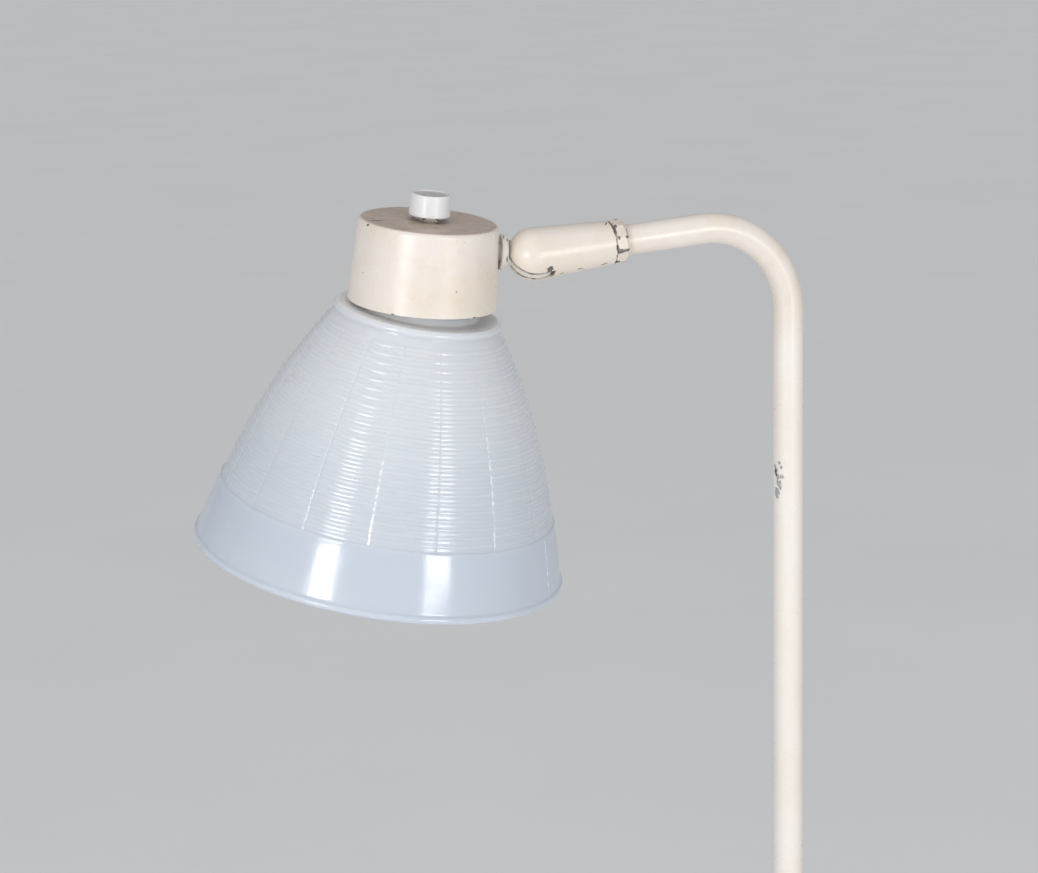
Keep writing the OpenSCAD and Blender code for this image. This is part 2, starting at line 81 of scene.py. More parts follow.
# +Z up the cup's axis, +X towards the knuckle
CUP = axes_at(joint_point("head_swivel"), -joint_axis("head_swivel"), joint_axis("switch_turn"))
STEM = Matrix.Identity(4)


def span(node, place):
    """Lowest and highest z of a CAD node's points in that frame."""
    inverse = place.inverted()
    heights = [(inverse @ vertex.co).z for vertex in frame["nodes"][node].data.vertices]
    return min(heights), max(heights)


CUP_LOW, CUP_TOP = span("head_cup", CUP)
KNOB_TOP = span("switch_knob", CUP)[1]
SHADE_HANG = (1.6, 4.2)                   # degrees off the cup's axis, about its X and Y
SHADE_SHIFT = 1.3                         # millimetres off the cup's axis, away from the knuckle
SHADE = CUP @ Matrix.Translation((-SHADE_SHIFT * MM, 0, CUP_LOW)) @ (
    Matrix.Rotation(radians(SHADE_HANG[0]), 4, "X") @ Matrix.Rotation(radians(SHADE_HANG[1]), 4, "Y"))


def around(place, angle, along, radius):
    """A point in the lamp's frame, from its angle in degrees, height and radius in millimetres in place."""
    a = radians(angle)
    return place @ (Vector((radius * cos(a), radius * sin(a), along)) * MM)


# ---------------------------------------------------------------- mesh helpers

def new_piece(name, vertices, faces, body, sharp=50):
    """A smooth-shaded mesh object that rides on a CAD body."""
    mesh = bpy.data.meshes.new(name)
    mesh.from_pydata(vertices, [], faces)
    mesh.update()
    mesh.shade_smooth()
    mesh.set_sharp_from_angle(angle=radians(sharp))
    piece = bpy.data.objects.new(name, mesh)
    bpy.context.scene.collection.objects.link(piece)
    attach(piece, body)
    return piece


def revolved(place, rings):
    """Points and faces of a closed skin: rings is rows x columns x 3 in place, closed both ways."""
    rows, columns = rings.shape[:2]
    matrix = np.array(place)
    points = rings.reshape(-1, 3) @ matrix[:3, :3].T + matrix[:3, 3]
    faces = []
    for i in range(rows):
        a, b = i * columns, (i + 1) % rows * columns
        faces += [(a + j, a + (j + 1) % columns, b + (j + 1) % columns, b + j) for j in range(columns)]
    return points.tolist(), faces


def arc(x, z, r, start, end, steps):
    """Points along an arc, angles in degrees."""
    turns = np.radians(np.linspace(start, end, steps))
    return [(x + r * cos(t), z + r * sin(t)) for t in turns]


# ---------------------------------------------------------------- the shade

FLANGE_Z = -4.4                           # all in millimetres, in the shade's frame
FLANGE_T = 2.2
HUB_R = 31
HUB_Z = -0.6
HOLE_R = 19.9
LIP_R = 43.3
LIP_ROUND = 2.3
NECK_R = 42.6
SHOULDER_Z = -8.2
RIB_END = (87.0, -105)
BULGE_R = 352
BAND_TOP_R = 88.2
BAND_LOW_R = 96.3
BAND_FLARE = 0.94                         # below 1, the band opens faster near its top
RIM_R = 97.7
RIM_Z = -139
BEAD_R = 2
WALL = 2.2
RIB_START = -12.8                         # where the ribs start
RIB_PITCH = 2.0
RIB_ROWS = 8                              # rows of points across one rib
STRONG_RIB = 0.24                         # height of every second rib
WEAK_RIB = 0.12
TOP_RIBS = 1.5                            # how many times as high the ribs are at their top end
RIB_SCATTER = 0.14                        # how unevenly high the ribs are, as a share of their height
RIB_SLOTS = 61                            # how many ribs have a height of their own
LOBES = 16
SEAM_TURN = 9.2                           # angle of one seam, in degrees
LOBE_CROWN = 0.2                          # how far a lobe's middle stands proud of its sides
SEAM_DEPTH = 0.14                         # depth of the groove between two lobes, at the band
SEAM_WIDTH = 0.03                         # half width of the groove, as a share of half a lobe
SEAM_CUT = 0.7                            # how much of the ribs' height the groove takes away
MOULD_LINE = -30                          # angle of the raised line across the band, in degrees
MOULD_HEIGHT = 0.16
MOULD_HALF_WIDE = 0.55                    # half width of the raised line, in degrees
WAVE = 0.022                              # how far the wall is out of round, for each of its waves


def bell_radius(z, inside=0.0):
    """Radius of the bell's curve at height z, on the face that lies inside the outer one by that much."""
    (r0, z0), (r1, z1) = (NECK_R, SHOULDER_Z), RIB_END
    chord = hypot(r1 - r0, z1 - z0)
    rise = (BULGE_R ** 2 - chord ** 2 / 4) ** 0.5
    centre_r = (r0 + r1) / 2 + rise * (z1 - z0) / chord
    centre_z = (z0 + z1) / 2 - rise * (r1 - r0) / chord
    return centre_r + np.sqrt((BULGE_R - inside) ** 2 - (z - centre_z) ** 2)


def lobe_columns():
    """Angles of the columns of points, in radians, and each one's place in its lobe from -1 to 1."""
    near = [0, 0.01, 0.022, 0.036, 0.055, 0.09, 0.15, 0.24, 0.36, 0.5, 0.66, 0.83]
    half = [-1 + x for x in near]
    places = np.array(half + [0] + [-x for x in half[:0:-1]])
    lobe = 2 * pi / LOBES
    angles = [radians(SEAM_TURN) + lobe * (k + (p + 1) / 2) for k in range(LOBES) for p in places]
    return np.array(angles), np.tile(places, LOBES), np.repeat(np.arange(LOBES), len(places))


def shade_section():
    """Rows down the outside and up the inside: radius, height, share of the ribs, share of the lobes."""
    top = [(HOLE_R, HUB_Z), (HUB_R - 2.2, HUB_Z), (HUB_R - 1.5, HUB_Z - 0.2), (HUB_R - 1, HUB_Z - 0.8),
           (HUB_R - 0.4, FLANGE_Z + 1.2), (HUB_R + 0.1, FLANGE_Z + 0.4), (HUB_R + 1, FLANGE_Z)]
    lip = arc(LIP_R - LIP_ROUND, FLANGE_Z - LIP_ROUND, LIP_ROUND, 90, -14, 12)
    lip += [(LIP_R - 0.32, SHOULDER_Z + 0.55), (LIP_R - 0.4, SHOULDER_Z - 0.1),
            (LIP_R - 0.2, SHOULDER_Z - 0.8)]
    shoulder = [(bell_radius(z), z) for z in np.linspace(SHOULDER_Z - 1.7, RIB_START, 6)[:-1]]
    plain = [(r, z, 0, 0) for r, z in top + lip] + [(r, z, 0, 0.3) for r, z in shoulder]
    rib_count = int((RIB_START - RIB_END[1]) / RIB_PITCH)
    step = RIB_PITCH / RIB_ROWS
    ribbed = [(bell_radius(RIB_START - step * i), RIB_START - step * i, 1, 1)
              for i in range(rib_count * RIB_ROWS + 1)]
    band = [(BAND_TOP_R - 0.5, RIB_END[1] - 0.15), (BAND_TOP_R - 0.1, RIB_END[1] - 0.5)]
    band_low = RIM_Z + 2 * BEAD_R
    band_top = RIB_END[1] - 0.9
    band += [(BAND_TOP_R + (BAND_LOW_R - BAND_TOP_R) * t ** BAND_FLARE, band_top + (band_low - band_top) * t)
             for t in np.linspace(0, 1, 26)]
    bead = arc(RIM_R - BEAD_R, RIM_Z + BEAD_R, BEAD_R, 62, -90, 14)
    inner = [(RIM_R - BEAD_R - 0.9, RIM_Z + 0.25), (BAND_LOW_R - WALL, RIM_Z + 1.6),
             (BAND_LOW_R - WALL, band_low), (BAND_TOP_R - WALL - 0.4, RIB_END[1] - 0.8)]
    inner += [(bell_radius(z, WALL), z) for z in np.linspace(RIB_END[1], SHOULDER_Z, 30)]
    inner += [(NECK_R - WALL - 0.3, FLANGE_Z - FLANGE_T - 0.4), (NECK_R - WALL - 1, FLANGE_Z - FLANGE_T),
              (HUB_R - 2.4, FLANGE_Z - FLANGE_T), (HUB_R - 3.2, HUB_Z - FLANGE_T), (HOLE_R, HUB_Z - FLANGE_T)]
    return np.array(plain + ribbed + [(r, z, 0, 0) for r, z in band + bead + inner])


def rib_height(z):
    """Height of the rounded ribs at z: every second one is strong."""
    turns = (RIB_START - z) / RIB_PITCH
    inside = turns - np.floor(turns)
    strong = np.floor(turns) % 2 < 0.5
    return np.where(strong, STRONG_RIB, WEAK_RIB) * (1 - (2 * inside - 1) ** 2)


def build_shade():
    """The opal bell, with its ribs, lobes, grooves, raised line and slight unevenness."""
    section = shade_section()
    angles, places, lobes = lobe_columns()
    draw = np.random.default_rng(SEED)
    radius, z, ribs, lobed = (section[:, k, None] for k in range(4))
    down = np.clip((RIB_START - z) / (RIB_START - RIB_END[1]), 0, 1)
    rib_number = np.clip(((RIB_START - z) / RIB_PITCH).astype(int), 0, RIB_SLOTS - 1)
    uneven = 1 + RIB_SCATTER * draw.standard_normal((RIB_SLOTS, LOBES))[rib_number, lobes[None, :]]
    nearest_seam = (np.arange(len(angles)) + len(angles) // LOBES // 2) * LOBES // len(angles) % LOBES
    broken = draw.uniform(0.25, 1, (RIB_SLOTS, LOBES))[rib_number, nearest_seam[None, :]]
    groove = np.exp(-(((1 - np.abs(places)) / SEAM_WIDTH) ** 2))[None, :]
    wave = sum(draw.uniform(0.3, 1) * np.cos(k * angles[None, :] + draw.uniform(0, 2 * pi)
                                             + draw.uniform(-0.05, 0.05) * z)
               for k in (2, 3, 5, 9, 14, 23)) * WAVE
    rise = rib_height(z) * (TOP_RIBS + (1 - TOP_RIBS) * down)
    out = radius + ribs * rise * uneven * (1 - SEAM_CUT * groove)
    out += lobed * (LOBE_CROWN * (0.4 + 0.6 * down) * (1 - 1.7 * places[None, :] ** 2) * 0.5)
    out -= lobed * SEAM_DEPTH * down ** 1.3 * broken * groove
    out += wave * np.clip((radius - NECK_R) / 20, 0, 1)
    in_band = (z < RIB_END[1] - 1) & (z > RIM_Z + 2 * BEAD_R) & (radius > BAND_TOP_R - 0.5)
    turn = (np.degrees(angles) - MOULD_LINE + 180) % 360 - 180
    out += np.where(in_band, MOULD_HEIGHT * np.exp(-((turn / MOULD_HALF_WIDE) ** 2))[None, :], 0)
    rings = np.stack([out * np.cos(angles), out * np.sin(angles), np.broadcast_to(z, out.shape)], axis=2) * MM
    points, faces = revolved(SHADE, rings[::-1])
    piece = new_piece("ribbed_shade", points, faces, NODE_BODY["shade"], sharp=75)
    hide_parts("shade")
    return piece


# ---------------------------------------------------------------- the bulb's threaded cap

CAP_TOP = 1.9
CAP_LOW = -20
THREAD_LOW = -17.5
THREAD_TOP = -4.0
THREAD_PITCH = 3.63
THREAD_DEPTH = 1.1
THREAD_FADE = 1.5                         # length over which each end of the thread fades in
CAP_R = 13.2
CAP_INSET = 0.6                           # how far the plain side lies inside the thread's crests
AXIS_R = 0.02                             # rings nearest the axis, merged into points below


def build_cap():
    """The bulb's metal cap, with its screw thread and its contact."""
    columns = 96
    angles = np.arange(columns) * 2 * pi / columns
    section = [(AXIS_R, CAP_LOW), (CAP_R - 2 * CAP_INSET, CAP_LOW), (CAP_R - CAP_INSET, CAP_LOW + 0.4)]
    section += [(CAP_R - CAP_INSET, z) for z in np.linspace(CAP_LOW + 0.8, CAP_TOP - 5.2, 66)]
    section += [(CAP_R - 1.6, -2.9), (9, -0.4), (4.6, 0.6), (4.2, 1.5), (3.4, CAP_TOP), (AXIS_R, CAP_TOP)]
    section = np.array(section)
    radius, z = section[:, :1], section[:, 1:]
    fade = np.clip((z - THREAD_LOW) / THREAD_FADE, 0, 1) * np.clip((THREAD_TOP - z) / THREAD_FADE, 0, 1)
    turns = z / THREAD_PITCH - angles[None, :] / (2 * pi)
    out = radius + fade * (CAP_INSET - THREAD_DEPTH / 2 * (1 - np.cos(2 * pi * turns)))
    rings = np.stack([out * np.cos(angles), out * np.sin(angles), np.broadcast_to(z, out.shape)], axis=2) * MM
    points, faces = revolved(SHADE, rings)
    piece = new_piece("threaded_cap", points, faces[:-columns], NODE_BODY["bulb_cap"])
    bm = bmesh.new()
    bm.from_mesh(piece.data)
    bmesh.ops.remove_doubles(bm, verts=bm.verts, dist=0.05 * MM)
    bmesh.ops.recalc_face_normals(bm, faces=bm.faces)
    bm.to_mesh(piece.data)
    bm.free()
    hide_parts("bulb_cap")
    return piece


# ---------------------------------------------------------------- materials

class Surface:
    """A procedural material, built up node by node. Each method returns a socket."""

    def __init__(self, name, **fixed):
        self.material = bpy.data.materials.new(name)
        self.material.use_nodes = True
        self.tree = self.material.node_tree
        self.shader = self.tree.nodes["Principled BSDF"]
        self.place = self.tree.nodes.new("ShaderNodeTexCoord").outputs["Object"]
        for socket, value in fixed.items():
            self.shader.inputs[socket.replace("_", " ")].default_value = value

    def feed(self, socket, value):
        if isinstance(value, bpy.types.NodeSocket):
            self.tree.links.new(value, socket)
        elif value is not None:
            socket.default_value = value

    def node(self, kind, inputs, output=0, **settings):
        made = self.tree.nodes.new("ShaderNode" + kind)
        for name, value in settings.items():
            setattr(made, name, value)
        for name, value in inputs.items():
            self.feed(made.inputs[name], value)
        return made.outputs[output]

    def math(self, operation, a, b=None):
        return self.node("Math", {0: a, 1: b}, operation=operation)

    def noise(self, scale, detail=3.0, roughness=0.55, place=None):
        inputs = {"Vector": place or self.place, "Scale": scale, "Detail": detail, "Roughness": roughness}
        return self.node("TexNoise", inputs)

    def ramp(self, value, low, high, start=0.0, end=1.0):
        """value's range low..high, mapped smoothly to start..end and held there."""
        inputs = {"Value": value, "From Min": low, "From Max": high, "To Min": start, "To Max": end}
        return self.node("MapRange", inputs, interpolation_type="SMOOTHSTEP")

    def mix(self, factor, a, b):
        return self.node("Mix", {0: factor, 6: a, 7: b}, output=2, data_type="RGBA")

    def stretched(self, scale):
        return self.node("Mapping", {"Vector": self.place, "Scale": scale})

    def local(self, place):
        """Coordinates in one of the lamp's frames, in metres."""
        inputs = {"Vector": self.place, "Location": place.translation, "Rotation": place.to_euler()}
        return self.node("Mapping", inputs, vector_type="TEXTURE")

    def spot(self, mark, ragged):
        """1 inside a ragged oval mark and 0 outside."""
        inputs = {"Vector": self.place, "Location": mark["centre"], "Rotation": mark["turn"],
                  "Scale": mark["size"]}
        oval = self.node("Mapping", inputs, vector_type="TEXTURE")
        reach = self.node("VectorMath", {0: oval}, output=1, operation="LENGTH")
        return self.ramp(self.math("ADD", reach, ragged), 1.12, 0.95)

    def spots(self, marks, scale=900.0, amount=0.9):
        """The union of ragged marks."""
        grain = self.math("MULTIPLY", self.math("SUBTRACT", self.noise(scale, 4.0, 0.65), 0.5), 2 * amount)
        return self.any_of(self.spot(mark, grain) for mark in marks)

    def off_axis(self, place):
        """Distance from the Z axis of one of the lamp's frames, and the height along it."""
        at = self.local(place)
        flat = self.node("VectorMath", {0: at, 1: (1, 1, 0)}, operation="MULTIPLY")
        return (self.node("VectorMath", {0: flat}, output=1, operation="LENGTH"),
                self.node("SeparateXYZ", {0: at}, output=2))

    def worn_edge(self, place, radius, height, reach, spread=0.5):
        """1 where paint is lost along a round edge, in ragged bits no further from it than reach."""
        out, up = self.off_axis(place)
        apart = self.node("CombineXYZ", {0: self.math("SUBTRACT", out, radius * MM),
                                         1: self.math("SUBTRACT", up, height * MM)})
        away = self.node("VectorMath", {0: apart}, output=1, operation="LENGTH")
        away = self.math("DIVIDE", away, reach * MM)
        where = self.ramp(self.noise(170, 3.0, 0.6), 0.66 - 0.3 * spread, 0.8 - 0.3 * spread, 0, 1.3)
        ragged = self.math("MULTIPLY", self.math("SUBTRACT", self.noise(1100, 4.0, 0.7), 0.5), 1.4)
        return self.ramp(self.math("SUBTRACT", self.math("ADD", where, ragged), away), 0.0, 0.12)

    def any_of(self, masks):
        """The union of masks, or None."""
        found = None
        for one in masks:
            found = one if found is None else self.math("MAXIMUM", found, one)
        return found

    def bump(self, height, depth, strength=1.0):
        return self.node("Bump", {"Height": height, "Distance": depth, "Strength": strength})

    def finish(self, **inputs):
        for name, value in inputs.items():
            self.feed(self.shader.inputs[name.replace("_", " ")], value)
        return self.material


def mark(place, angle, along, radius, long, wide, lean=0.0):
    """An oval mark on a round face: long runs across the axis, turned by lean degrees towards it."""
    centre = around(place, angle, along, radius)
    axis = (place.to_3x3() @ Vector((0, 0, 1))).normalized()
    out = centre - place.translation
    out = (out - axis * out.dot(axis)).normalized()
    across = Matrix.Rotation(radians(lean), 3, out) @ axis.cross(out)
    turn = Matrix((across, out.cross(across), out)).transposed().to_euler()
    return {"centre": centre, "turn": turn, "size": (long * MM, wide * MM, 2 * max(wide, 0.8) * MM)}


def flat_mark(place, angle, radius, along, long, wide, lean=0.0):
    """An oval mark on a face across the axis, turned by lean degrees from the radius."""
    centre = around(place, angle, along, radius)
    turn = (place.to_3x3() @ Matrix.Rotation(radians(angle + lean), 3, "Z")).to_euler()
    return {"centre": centre, "turn": turn, "size": (long * MM, wide * MM, 1.0 * MM)}


CREAM = (0.79, 0.705, 0.60, 1)
CREAM_WARM = (0.77, 0.66, 0.535, 1)
CREAM_PALE = (0.83, 0.765, 0.70, 1)
PRIMER = (0.36, 0.36, 0.365, 1)
UNDERCOAT = (0.74, 0.735, 0.70, 1)
BARE = (0.12, 0.117, 0.11, 1)
BARE_BRIGHT = (0.30, 0.29, 0.275, 1)
# dust, and also painted shade where it darkens the cup's top
DUST_AND_SHADE_BROWN = (0.45, 0.315, 0.22, 1)
# dark colour of painted shade in the knuckle's slot and on the tongue, and of the darker ring round the switch nut
DARK_SHADE_AND_RING = (0.04, 0.031, 0.022, 1)
# paler colour painted on the upright tube as painted light
PAINTED_LIGHT_CREAM = (0.90, 0.865, 0.82, 1)

STEM_R = 8                                # faces that wear marks lie on, in millimetres
RING_R = 11.4
BALL_R = 13.55
SLOT_HALF = 2.6                           # half width of the knuckle's slot


def enamel(name, chips=(), primer=(), edges=(), dust_and_shade=None, darkening=None, rubbed=None, painted_light=None):
    """Old baked cream enamel: yellowed unevenly, a little rippled, chipped to primer and to dark steel."""
    paint = Surface(name, IOR=1.5)
    cloud = paint.ramp(paint.noise(22, 4.0, 0.6), 0.35, 0.68)
    colour = paint.mix(cloud, CREAM_PALE, CREAM)
    yellow = paint.ramp(paint.noise(70, 5.0, 0.65), 0.46, 0.72, 0, 0.55)
    colour = paint.mix(yellow, colour, CREAM_WARM)
    speck = paint.ramp(paint.node("TexVoronoi", {"Vector": paint.place, "Scale": 130.0}), 0.055, 0.03)
    sparse = paint.ramp(paint.noise(55, 2.0), 0.6, 0.66)
    colour = paint.mix(paint.math("MULTIPLY", speck, paint.math("MULTIPLY", sparse, 0.6)), colour, DUST_AND_SHADE_BROWN)
    rough = paint.ramp(paint.noise(160, 4.0, 0.6), 0.3, 0.7, 0.26, 0.37)
    # dust; on the cup's top also painted shade
    if dust_and_shade is not None:
        dust_and_painted_light = dust_and_shade(paint)
        stain = paint.ramp(paint.noise(150, 6.0, 0.7), 0.35, 0.7, 0.72, 1.0)
        dust_and_painted_light = paint.math("MULTIPLY", dust_and_painted_light, stain)
        colour = paint.mix(dust_and_painted_light, colour, DUST_AND_SHADE_BROWN)
    # painted shade in gaps, and the darker ring round the switch nut
    if darkening is not None:
        colour = paint.mix(darkening(paint), colour, DARK_SHADE_AND_RING)
    # painted light: paler colour on the upright tube
    if painted_light is not None:
        colour = paint.mix(painted_light(paint), colour, PAINTED_LIGHT_CREAM)
    if rubbed is not None:
        colour = paint.mix(rubbed(paint), colour, UNDERCOAT)
    height = paint.math("ADD", paint.math("MULTIPLY", paint.noise(420, 2.0), 0.5),
                        paint.math("MULTIPLY", paint.noise(1500, 2.0), 0.12))
    metal = None
    if primer:
        lost = paint.spots(primer, 700.0, 0.8)
        mottle = paint.ramp(paint.noise(1100, 3.0, 0.6), 0.5, 0.66, 0, 0.8)
        colour = paint.mix(lost, colour, paint.mix(mottle, PRIMER, UNDERCOAT))
        height = paint.math("SUBTRACT", height, paint.math("MULTIPLY", lost, 1.2))
    lost = paint.any_of([paint.worn_edge(*edge) for edge in edges] + ([paint.spots(chips)] if chips else []))
    if lost is not None:
        worn = paint.ramp(paint.noise(1300, 5.0, 0.7), 0.42, 0.7)
        colour = paint.mix(lost, colour, paint.mix(worn, BARE, BARE_BRIGHT))
        height = paint.math("SUBTRACT", height, paint.math("MULTIPLY", lost, 3.5))
        rough = paint.math("ADD", rough, paint.math("MULTIPLY", lost, 0.15))
        metal = paint.math("MULTIPLY", lost, 0.3)
    return paint.finish(Base_Color=colour, Roughness=rough, Metallic=metal,
                        Normal=paint.bump(height, 0.05 * MM))


LOBE_TURN = 360 / LOBES
# Painted highlights: angle in degrees, top and bottom height, how far down it takes to show fully, half width in
# degrees
SEAM_PAINTED_HIGHLIGHTS = [(SEAM_TURN - 5 * LOBE_TURN, -45, RIB_END[1], 25, 0.34),
              (SEAM_TURN - 3 * LOBE_TURN, -25, RIB_END[1], 30, 0.3),
              (SEAM_TURN - 6 * LOBE_TURN, -80, RIB_END[1], 25, 0.18),
              (MOULD_LINE, RIB_END[1] - 0.5, RIM_Z + 5, 1, 0.33)]


def seam_painted_highlights(opal, inside, height):
    """Painted highlights: broken pale dashes along three seams between lobes and along the line across the band.
    """
    x, y = (opal.node("SeparateXYZ", {0: inside}, output=k) for k in (0, 1))
    turn = opal.math("ARCTAN2", y, x)
    dashes = opal.ramp(opal.noise(430, 3.0, 0.6), 0.44, 0.57, 0.05, 1)
    lines = []
    for angle, top, low, fade, half_wide in SEAM_PAINTED_HIGHLIGHTS:
        off = opal.math("ABSOLUTE", opal.math("SUBTRACT", turn, radians(angle)))
        line = opal.ramp(off, radians(half_wide + 0.12), radians(half_wide - 0.08))
        along = opal.math("MULTIPLY", opal.ramp(height, top * MM, (top - fade) * MM),
                          opal.ramp(height, (low - 0.3) * MM, (low + 0.3) * MM))
        lines.append(opal.math("MULTIPLY", line, along))
    return opal.math("MULTIPLY", opal.any_of(lines), dashes)


def opal_plastic():
    """Bluish-white opal plastic: glossy, a little translucent, with dust and painted light on its flange, painted
    highlights along seams and painted shade lower down.
    """
    opal = Surface("opal_plastic", IOR=1.49, Subsurface_Weight=0.7, Subsurface_Scale=5 * MM,
                   Subsurface_Radius=(0.9, 1.0, 1.1))
    inside = opal.local(SHADE)
    height = opal.node("SeparateXYZ", {0: inside}, output=2)
    cloud = opal.ramp(opal.noise(14, 3.0), 0.35, 0.7)
    ribbed = opal.mix(cloud, (0.66, 0.69, 0.73, 1), (0.68, 0.705, 0.74, 1))
    # painted shade: the band and the lower ribs are darker than the top of the ribs; the band is also bluer
    band = opal.mix(cloud, (0.56, 0.605, 0.675, 1), (0.58, 0.62, 0.68, 1))
    lower_painted_shade = opal.mix(cloud, (0.59, 0.62, 0.67, 1), (0.61, 0.635, 0.68, 1))
    ribbed = opal.mix(opal.ramp(height, RIB_END[1] * MM, -30 * MM), lower_painted_shade, ribbed)
    colour = opal.mix(opal.ramp(height, (RIB_END[1] - 2) * MM, (RIB_END[1] + 3) * MM), band, ribbed)
    stain = opal.math("MULTIPLY", opal.spots([mark(SHADE, -165, -43, 62.5, 7, 3, 30)], 300.0, 0.8),
                      opal.ramp(opal.noise(420, 5.0, 0.7), 0.45, 0.75, 0.0, 0.45))
    colour = opal.mix(stain, colour, (0.42, 0.36, 0.27, 1))
    # painted highlights: pale dashes along three seams and the raised line
    colour = opal.mix(seam_painted_highlights(opal, inside, height), colour, (0.93, 0.95, 0.97, 1))
    # dust on the flange, painted lighter than the plastic as painted light where the cup shades it
    dust_and_painted_light = opal.math("MULTIPLY", opal.ramp(height, (FLANGE_Z - 0.6) * MM, (FLANGE_Z - 0.1) * MM),
                     opal.ramp(height, (FLANGE_Z + 1.4) * MM, (FLANGE_Z + 0.2) * MM))
    dust_and_painted_light = opal.math("MULTIPLY", dust_and_painted_light, opal.ramp(opal.noise(180, 5.0, 0.7), 0.3, 0.7, 0.45, 0.9))
    colour = opal.mix(dust_and_painted_light, colour, (0.89, 0.86, 0.83, 1))
    speck = opal.ramp(opal.node("TexVoronoi", {"Vector": opal.place, "Scale": 90.0}), 0.045, 0.025)
    sparse = opal.ramp(opal.noise(40, 2.0), 0.6, 0.66)
    specks = opal.math("MULTIPLY", opal.math("MULTIPLY", speck, sparse), 0.5)
    colour = opal.mix(specks, colour, (0.4, 0.38, 0.36, 1))
    rough = opal.ramp(opal.noise(120, 4.0, 0.6), 0.3, 0.7, 0.1, 0.18)
    rough = opal.math("ADD", rough, opal.math("MULTIPLY", dust_and_painted_light, 0.35))
    grain = opal.math("ADD", opal.noise(260, 2.0), opal.math("MULTIPLY", opal.noise(1100, 3.0), 0.25))
    return opal.finish(Base_Color=colour, Roughness=rough, Normal=opal.bump(grain, 0.05 * MM))


def bulb_opal():
    """The bulb's white inner coating under clear glass."""
    glass = Surface("bulb_opal", IOR=1.5, Coat_Weight=0.5, Coat_Roughness=0.03, Subsurface_Weight=0.2,
                    Subsurface_Scale=1 * MM)
    cloud = glass.ramp(glass.noise(60, 3.0), 0.3, 0.7)
    colour = glass.mix(cloud, (0.86, 0.86, 0.84, 1), (0.82, 0.82, 0.80, 1))
    return glass.finish(Base_Color=colour, Roughness=glass.ramp(glass.noise(90, 2.0), 0.3, 0.7, 0.12, 0.22))


def bare_metal(name, dark, light, rough, dull):
    """Turned or drawn metal: fine tool marks, tarnish, and a slightly uneven shine."""
    metal = Surface(name, Metallic=1.0)
    lines = metal.noise(1.0, 2.0, 0.5, metal.stretched((2600, 2600, 90)))
    tarnish = metal.ramp(metal.noise(140, 5.0, 0.65), 0.42, 0.72, 0, 1)
    colour = metal.mix(tarnish, light, dark)
    shine = metal.math("ADD", metal.ramp(lines, 0.3, 0.7, rough - 0.05, rough + 0.08),
                       metal.math("MULTIPLY", tarnish, dull))
    return metal.finish(Base_Color=colour, Roughness=shine, Normal=metal.bump(lines, 0.012 * MM, 0.6))


def moulded(name, colour_a, colour_b, rough, coat=0.0, grain=0.02):
    """Moulded plastic or rubber: cloudy colour, patches of pale wear and a fine skin."""
    plastic = Surface(name, IOR=1.5, Coat_Weight=coat, Coat_Roughness=0.08)
    colour = plastic.mix(plastic.ramp(plastic.noise(60, 4.0, 0.6), 0.35, 0.7), colour_a, colour_b)
    wear = plastic.ramp(plastic.noise(240, 5.0, 0.7), 0.58, 0.78, 0, 0.25)
    colour = plastic.mix(wear, colour, tuple(0.7 * c + 0.1 for c in colour_b[:3]) + (1,))
    shine = plastic.ramp(plastic.noise(130, 4.0), 0.3, 0.7, rough - 0.05, rough + 0.08)
    fine = plastic.math("MULTIPLY", plastic.noise(2400, 2.0), 0.4)
    skin = plastic.math("ADD", plastic.noise(500, 2.0), fine)
    return plastic.finish(Base_Color=colour, Roughness=shine, Normal=plastic.bump(skin, grain * MM))


def knob_white():
    """The switch knob's cool white plastic, greyed round its foot and darkened brown in its dished top."""
    white = Surface("knob_white", IOR=1.5, Coat_Weight=0.12, Coat_Roughness=0.15)
    reach, height = white.off_axis(CUP)
    cloud = white.ramp(white.noise(90, 4.0, 0.6), 0.35, 0.7)
    colour = white.mix(cloud, (0.83, 0.83, 0.84, 1), (0.78, 0.78, 0.79, 1))
    foot = white.math("MULTIPLY", white.ramp(height, CUP_TOP + 5 * MM, CUP_TOP + 2.5 * MM),
                      white.ramp(white.noise(350, 4.0, 0.7), 0.4, 0.7, 0.1, 0.45))
    colour = white.mix(foot, colour, (0.42, 0.40, 0.37, 1))
    dish = white.math("MULTIPLY", white.ramp(reach, 8.9 * MM, 8.3 * MM),
                      white.ramp(height, KNOB_TOP - 2 * MM, KNOB_TOP - MM))
    dish = white.math("MULTIPLY", dish, white.ramp(white.noise(300, 4.0, 0.7), 0.35, 0.65, 0.45, 0.85))
    colour = white.mix(dish, colour, (0.50, 0.42, 0.38, 1))
    rough = white.ramp(white.noise(160, 3.0), 0.3, 0.7, 0.3, 0.42)
    return white.finish(Base_Color=colour, Roughness=rough,
                        Normal=white.bump(white.noise(600, 2.0), 0.02 * MM))


def cup_top_dust_and_shade(paint):
    """Dust and yellowing on the cup's flat top, darkened further there as painted shade."""
    height = paint.node("SeparateXYZ", {0: paint.local(CUP)}, output=2)
    return paint.ramp(height, CUP_TOP - 0.5 * MM, CUP_TOP - 0.05 * MM, 0, 0.86)


def cup_nut_dark_ring(paint):
    """A darker ring on the cup's top round the switch nut."""
    reach, height = paint.off_axis(CUP)
    ring = paint.ramp(reach, 13.5 * MM, 7.0 * MM, 0, 0.5)
    ring = paint.math("MULTIPLY", ring, paint.ramp(paint.noise(420, 5.0, 0.7), 0.35, 0.65, 0.25, 1))
    return paint.math("MULTIPLY", ring, paint.ramp(height, CUP_TOP - 0.6 * MM, CUP_TOP - 0.1 * MM))


